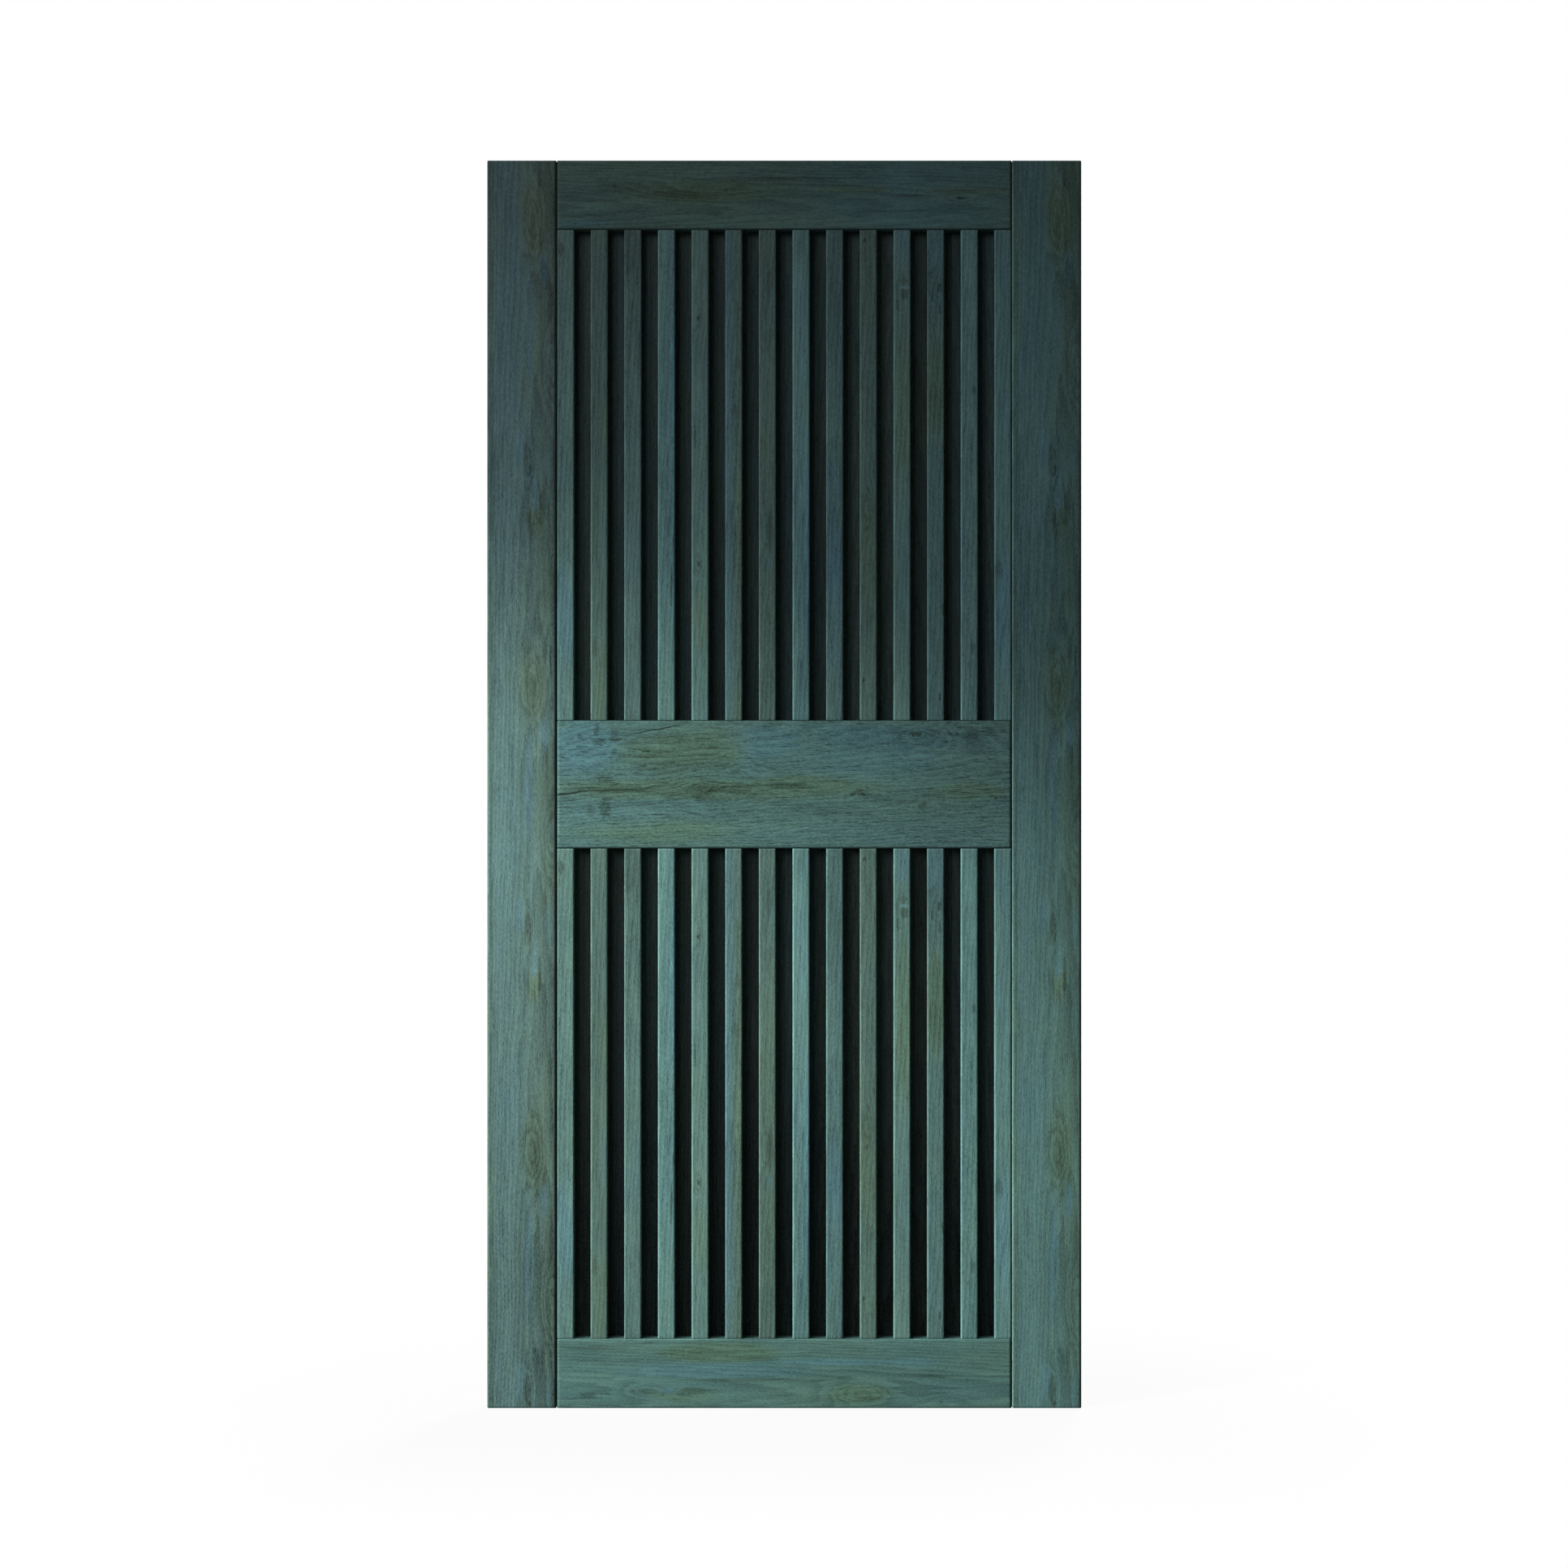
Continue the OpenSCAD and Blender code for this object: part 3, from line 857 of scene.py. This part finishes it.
def soft_arris(g, facing, turn):
    """A normal that turns over a board's edges in a wider curve than the wood itself."""
    back = g.add("ShaderNodeVectorRotate", {"Vector": facing, "Rotation": turn}, rotation_type="EULER_XYZ",
                 invert=True).outputs[0]
    world = g.add("ShaderNodeVectorTransform", {0: back}, vector_type="NORMAL", convert_from="OBJECT",
                  convert_to="WORLD").outputs[0]
    own = g.nodes.new("ShaderNodeNewGeometry").outputs["Normal"]
    return g.vector("NORMALIZE", g.vector("MULTIPLY_ADD", own, OWN_NORMAL, world))


def feature_space(g, space, recurs):
    """The space in which a board's features lie: the board's own, or one that starts anew along it."""
    if not recurs:
        return space
    point = g.split(space)
    along = g.math("WRAP", g.math("SUBTRACT", point[0], recurs.first), recurs.high, recurs.low)
    return g.join(along, point[1], point[2])


def bend_grain(g, space, features, eyes):
    """The board's space bent round its eyes, and the rings that the eyes add."""
    shifts = []
    rings = []
    for eye in eyes:
        made = g.group(shared("Grain Eye", eye_group), vector=features, pull=eye.pull, **to_feature(eye))
        shifts.append((made["Shift"], eye.width))
        rings.append((made["Near"], eye.rings))
    if not eyes:
        return space, 0.0
    return g.vector("SUBTRACT", space, g.join(0.0, g.weighted(shifts), 0.0)), g.weighted(rings)


def draw_marks(g, features, grain, marks):
    """How brown, how olive and how light a board's flecks and patches make it."""
    coarse = g.swing(grain["Lines"], COARSE_RAGGED)
    fine = g.swing(grain["Fibres"], FINE_RAGGED)
    browns, olives, lights = [], [], []
    for mark in marks:
        mask = g.group(
            shared("Mark", mark_group), vector=features, ragged=coarse if mark.soft > 0.5 else fine,
            inner=0.8 - 0.9 * mark.soft, outer=1.2 + 1.2 * mark.soft, **to_feature(mark))["Mask"]
        if mark.brown:
            browns.append(g.math("MULTIPLY", mask, mark.brown))
        if mark.olive:
            olives.append((mask, mark.olive))
        if mark.light:
            lights.append((mask, mark.light))
    return {"brown": g.largest(browns), "olive": g.weighted(olives), "light": g.weighted(lights)}


def draw_checks(g, space, checks):
    """A mask of a board's drying checks."""
    if not checks:
        return 0.0
    wander = g.swing(g.noise(g.vector("MULTIPLY", space, CHECK_WANDER_RATE), 3.0, 0.6), CHECK_WANDER)
    masks = []
    for check in checks:
        scale = 1 / (check.end_along - check.along)
        masks.append(g.group(
            shared("Drying Check", check_group), vector=space, wander=wander, scale=scale,
            offset=-check.along * scale, start=check.across, rise=check.end_across - check.across,
            width=check.width)["Mask"])
    return g.largest(masks)


def draw_shaded_seams(g, space, half, shaded_seams):
    """A mask of dark stain and painted shade where a board meets its neighbours."""
    point = g.split(space)
    masks = []
    for seam in shaded_seams:
        inward = g.math("MULTIPLY_ADD", point[seam.axis], -seam.side, half[seam.axis])
        masks.append(g.ramp(inward, SHADED_SEAM_CORE * seam.reach, seam.reach, 1.0, 0.0))
    return g.largest(masks)


def stained_wood(name, node_name, turn, board, edge_width, back_shade=0.0, foot_shade=0.0, painted_shades=()):
    """Stained oak for one board with its features, and with painted shade that doesn't recur along it.

    Painted shade darkens the board towards its back and towards its lower end, by the amounts given.
    """
    material, g, shader = new_material(name)
    space, half = board_space(g, node_name, turn)
    features = feature_space(g, space, board.recurs)
    bent, rings = bend_grain(g, space, features, board.eyes)
    grain = oak_grain(g, bent, board.seed, board.pith, rings)
    edges = g.group(shared("Eased Edges", edge_group), vector=space, half_size=half, width=edge_width)
    marks = draw_marks(g, features, grain, board.marks)
    lights = [marks["light"]]
    # Painted shade towards the back of a slat
    if back_shade:
        lights.append(g.ramp(g.split(space)[2], edge_width - half.z, 0.0, 0.0, -back_shade))
    # Painted shade towards the board's foot
    if foot_shade:
        lights.append(g.ramp(g.split(space)[0], -half.x, 0.0, -foot_shade, 0.0))
    # Painted shade that doesn't recur along the board: darker upper stiles and the left stile's shaded inner
    # side
    if painted_shades:
        lights.append(draw_marks(g, space, grain, painted_shades)["light"])
    marks["light"] = g.total(lights)
    checks = draw_checks(g, space, board.checks)
    # Dark joints, with painted shade on the sides that face away from the lamps
    shaded_seams = draw_shaded_seams(g, space, half, SHADED_SEAMS.get(node_name, ()))
    apply_stain(
        g, shader, grain, tint=(board.tone * board.red, board.tone, board.tone * board.blue),
        contrast=board.contrast, open_grain=board.open_grain,
        edges=g.math("MULTIPLY", edges["Mask"], board.worn),
        facing=soft_arris(g, edges["Facing"], turn), cracks=g.largest([checks, shaded_seams]), **marks)
    return material


def stave_panel(name, node_name, seed, red, foot_shade):
    """Stained oak of a panel that is glued up from staves, each with its own grain and tone.

    Painted shade darkens the panel's front towards its lower end.
    """
    options = settings()
    material, g, shader = new_material(name)
    space, half = board_space(g, node_name, UPRIGHT)
    across = g.math("DIVIDE", g.split(space)[1], options.grain.stave_width)
    number = g.math("FLOOR", across)
    random = g.add("ShaderNodeTexWhiteNoise", {"W": number}, noise_dimensions="1D").outputs
    grain = oak_grain(g, space, g.math("MULTIPLY_ADD", number, STAVE_SEED_STEP, seed), STRAIGHT)
    joint = g.ramp(g.math("PINGPONG", across, 0.5), 0.0, STAVE_JOINT, 1.0, 0.0)
    tone = g.math("MULTIPLY_ADD", random[0], STAVE_TONE_RANGE, STAVE_TONE)
    tone = g.math("MULTIPLY", tone, options.stain.panel_tone)
    warm = g.vector("MULTIPLY", g.join(tone, tone, tone), (red, 1.0, 1.0))
    olive = g.math("MULTIPLY_ADD", g.split(random[1])[1], STAVE_OLIVE_RANGE, STAVE_OLIVE)
    # Painted shade on the panel's front, darker towards its foot
    front = g.ramp(g.split(space)[2], -0.8 * half.z, 0.0, 1.0, 0.0)
    shaded_foot = g.math("MULTIPLY", g.ramp(g.split(space)[0], -half.x, 0.5 * half.x, -foot_shade, 0.0), front)
    apply_stain(
        g, shader, grain, tint=warm, contrast=PLAIN_CONTRAST, open_grain=PLAIN_PORES, olive=olive,
        light=shaded_foot, cracks=joint)
    return material


def bare_wood(name, node_name):
    """Bare turned hardwood for the dowels."""
    options = settings()
    material, g, shader = new_material(name)
    space, _ = board_space(g, node_name, LEVEL)
    grain = oak_grain(g, space, DOWEL_SEED, STRAIGHT)
    dark = (*options.stain.bare_dark, 1)
    colour = g.blend(grain["Rings"], (*options.stain.bare_light, 1), dark)
    g.put(shader["Base Color"], g.blend(grain["Pores"], colour, dark))
    g.put(shader["Roughness"], g.swing(grain["Fibres"], DOWEL_ROUGHNESS_RANGE, DOWEL_ROUGHNESS))
    relief = {"Strength": BARE_RELIEF, "Distance": options.grain.relief, "Height": grain["Fibres"]}
    g.put(shader["Normal"], g.add("ShaderNodeBump", relief).outputs["Normal"])
    return material


def finish_node(node_name, material):
    """Gives a node of the door its material, in a single slot."""
    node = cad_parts[node_name]
    node.data.materials.clear()
    node.data.materials.append(material)


class DOOR_OT_stiles(Operator):
    """Finish the two stiles, which are cut from like wood"""

    bl_idname = "barn_door.finish_stiles"
    bl_label = "Finish stiles"

    def execute(self, context):
        for name, (board, foot_shade, painted_shades) in STILES.items():
            finish = stained_wood(name + "_oak", name, UPRIGHT, board, FRAME_EDGE, foot_shade=foot_shade, painted_shades=painted_shades)
            finish_node(name, finish)
        return {"FINISHED"}


class DOOR_OT_rails(Operator):
    """Finish the top, middle and bottom rails"""

    bl_idname = "barn_door.finish_rails"
    bl_label = "Finish rails"

    def execute(self, context):
        for name, board in RAILS.items():
            finish_node(name, stained_wood(name + "_oak", name, LEVEL, board, FRAME_EDGE))
        return {"FINISHED"}


class DOOR_OT_slats(Operator):
    """Finish the slats of both fields"""

    bl_idname = "barn_door.finish_slats"
    bl_label = "Finish slats"

    def execute(self, context):
        for field in FIELDS:
            for number in range(1, SLAT_COUNT + 1):
                name = f"{field}_slat_{number:02d}"
                board = slat_board(number)
                finish = stained_wood(name + "_oak", name, UPRIGHT, board, SLAT_EDGE, back_shade=SLAT_BACK_SHADE)
                finish_node(name, finish)
        return {"FINISHED"}


class DOOR_OT_panels(Operator):
    """Finish the back panels"""

    bl_idname = "barn_door.finish_panels"
    bl_label = "Finish panels"

    def execute(self, context):
        for name, (seed, red, foot_shade) in PANELS.items():
            finish_node(name, stave_panel(name + "_oak", name, seed, red, foot_shade))
        return {"FINISHED"}


class DOOR_OT_dowels(Operator):
    """Finish the dowels inside the frame's joints"""

    bl_idname = "barn_door.finish_dowels"
    bl_label = "Finish dowels"

    def execute(self, context):
        finish_node("joint_dowels", bare_wood("bare_dowel_wood", "joint_dowels"))
        return {"FINISHED"}


def seen_directly(graph):
    """One where a camera, mirror or glass ray looks, and zero where light is gathered."""
    path = graph.nodes.new("ShaderNodeLightPath").outputs
    return graph.largest([path["Is Camera Ray"], path["Is Glossy Ray"], path["Is Transmission Ray"]])


def white_world(fill):
    """A world that looks white and gives a weak, even light."""
    world = bpy.data.worlds.new("studio_white")
    world.use_nodes = True
    graph = Graph(world.node_tree)
    background = graph.nodes["Background"].inputs
    background["Color"].default_value = (1, 1, 1, 1)
    strength = graph.math("MULTIPLY_ADD", seen_directly(graph), 1.0 - fill, fill)
    graph.put(background["Strength"], strength)
    bpy.context.scene.world = world


# The floor's half width, its grey to lamps and to the eye, how far from the door it turns white,
# and how white it is beside the door
FLOOR_REACH = 20.0
FLOOR_LIT_GREY = 0.02
FLOOR_SEEN_GREY = 0.80
WHITE_FROM, WHITE_AT = 0.05, 0.7
WHITE_BESIDE = 0.93


def pale_floor():
    """A wide floor at the door's foot that fades to white and keeps a soft shadow near the door."""
    mesh = bpy.data.meshes.new("studio_floor")
    shape = bmesh.new()
    bmesh.ops.create_grid(shape, x_segments=8, y_segments=8, size=FLOOR_REACH)
    shape.to_mesh(mesh)
    shape.free()
    floor = bpy.data.objects.new("studio_floor", mesh)
    bpy.context.scene.collection.objects.link(floor)
    material = bpy.data.materials.new("studio_floor_white")
    material.use_nodes = True
    graph = Graph(material.node_tree)
    graph.nodes.remove(graph.nodes["Principled BSDF"])
    seen = seen_directly(graph)
    grey = graph.math("MULTIPLY_ADD", seen, FLOOR_SEEN_GREY - FLOOR_LIT_GREY, FLOOR_LIT_GREY)
    matt = graph.add("ShaderNodeBsdfDiffuse", {"Color": graph.join(grey, grey, grey)})
    white = graph.add("ShaderNodeEmission", {"Color": (1, 1, 1, 1), "Strength": 1.0})
    place = graph.split(graph.nodes.new("ShaderNodeTexCoord").outputs["Object"])
    beside = graph.math("MAXIMUM", graph.math("SUBTRACT", graph.math("ABSOLUTE", place[0]), CAD_HIGH.x), 0.0)
    away = graph.measure("LENGTH", graph.join(beside, place[1], 0.0))
    bright = graph.ramp(away, WHITE_FROM, WHITE_AT, WHITE_BESIDE, 1.0)
    mixed = graph.add("ShaderNodeMixShader", {0: graph.math("MULTIPLY", bright, seen)})
    graph.put(mixed.inputs[1], matt.outputs[0])
    graph.put(mixed.inputs[2], white.outputs[0])
    graph.put(graph.nodes["Material Output"].inputs["Surface"], mixed.outputs[0])
    mesh.materials.append(material)


# Where each lamp stands and where it aims, and how wide it is or how wide its cone opens
SIDE_LAMP = ((-3.89, -2.39, 0.53), (-1.58, 0, -0.62))
SIDE_CONE = {"spot_size": math.radians(86.4), "spot_blend": 0.37, "shadow_soft_size": 0.15}
BEAM = ((-7.95, -4.22, 2.85), (-1.55, 0, 0.14))
BEAM_CONE = {"spot_size": math.radians(24.5), "spot_blend": 0.58, "shadow_soft_size": 0.1}
SOFT_LAMP = ((-2.0, -3.0, 3.0), (0, 0, 1.2))
SOFT_LAMP_SIZE = 2.0
BACK_LAMP = ((1.6, 3.0, 2.4), (0, 0, 1.0))
BACK_LAMP_SIZE = 1.6


def lamp(name, kind, place, aim, power, **attributes):
    """A lamp that points from its place at its aim."""
    data = bpy.data.lights.new(name, kind)
    data.energy = power
    for key, value in attributes.items():
        setattr(data, key, value)
    light = bpy.data.objects.new(name, data)
    light.location = place
    light.rotation_euler = (Vector(aim) - Vector(place)).to_track_quat("-Z", "Y").to_euler()
    bpy.context.scene.collection.objects.link(light)


def front_camera(stage):
    """A level camera in front of the door's middle."""
    data = bpy.data.cameras.new("front_camera")
    data.lens = data.sensor_width * stage.camera_distance / stage.view_width
    camera = bpy.data.objects.new("front_camera", data)
    camera.location = Vector((DOOR_MIDDLE.x, FRONT_Y - stage.camera_distance, DOOR_MIDDLE.z))
    camera.location += Vector(stage.camera_offset)
    camera.rotation_euler = (math.pi / 2, 0, 0)
    bpy.context.scene.collection.objects.link(camera)
    bpy.context.scene.camera = camera


class DOOR_OT_stage(Operator):
    """Set up the camera, the floor, the lamps and the white background"""

    bl_idname = "barn_door.set_stage"
    bl_label = "Set stage"

    def execute(self, context):
        stage = settings().stage
        front_camera(stage)
        pale_floor()
        white_world(stage.fill)
        lamp("side_lamp", "SPOT", *SIDE_LAMP, stage.side_power, color=stage.side_tint, **SIDE_CONE)
        lamp("beam", "SPOT", *BEAM, stage.beam_power, color=stage.beam_tint, **BEAM_CONE)
        lamp("soft_lamp", "AREA", *SOFT_LAMP, stage.soft_power, color=stage.soft_tint, size=SOFT_LAMP_SIZE)
        lamp("back_lamp", "AREA", *BACK_LAMP, stage.back_power, size=BACK_LAMP_SIZE)
        context.scene.view_settings.view_transform = "Standard"
        return {"FINISHED"}


FINISHES = (DOOR_OT_stiles, DOOR_OT_rails, DOOR_OT_slats, DOOR_OT_panels, DOOR_OT_dowels)


class DOOR_PT_sidebar(Panel):
    """The door's finishes and stage"""

    bl_idname = "DOOR_PT_sidebar"
    bl_label = "Slatted barn door"
    bl_space_type = "VIEW_3D"
    bl_region_type = "UI"
    bl_category = "Barn Door"

    def draw(self, context):
        for group in (settings().stain, settings().grain, settings().stage):
            box = self.layout.box()
            for name in group.__annotations__:
                box.prop(group, name)
        for operator in (*FINISHES, DOOR_OT_stage):
            self.layout.operator(operator.bl_idname)


CLASSES = (
    DOOR_PG_stain, DOOR_PG_grain, DOOR_PG_stage, DOOR_PG_settings,
    *FINISHES, DOOR_OT_stage, DOOR_PT_sidebar,
)


def register():
    for cls in CLASSES:
        bpy.utils.register_class(cls)
    bpy.types.Scene.barn_door = PointerProperty(type=DOOR_PG_settings)


def unregister():
    del bpy.types.Scene.barn_door
    for cls in reversed(CLASSES):
        bpy.utils.unregister_class(cls)


def main():
    """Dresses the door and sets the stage."""
    register()
    bpy.ops.barn_door.finish_stiles()
    bpy.ops.barn_door.finish_rails()
    bpy.ops.barn_door.finish_slats()
    bpy.ops.barn_door.finish_panels()
    bpy.ops.barn_door.finish_dowels()
    bpy.ops.barn_door.set_stage()


if __name__ == "__main__":
    main()
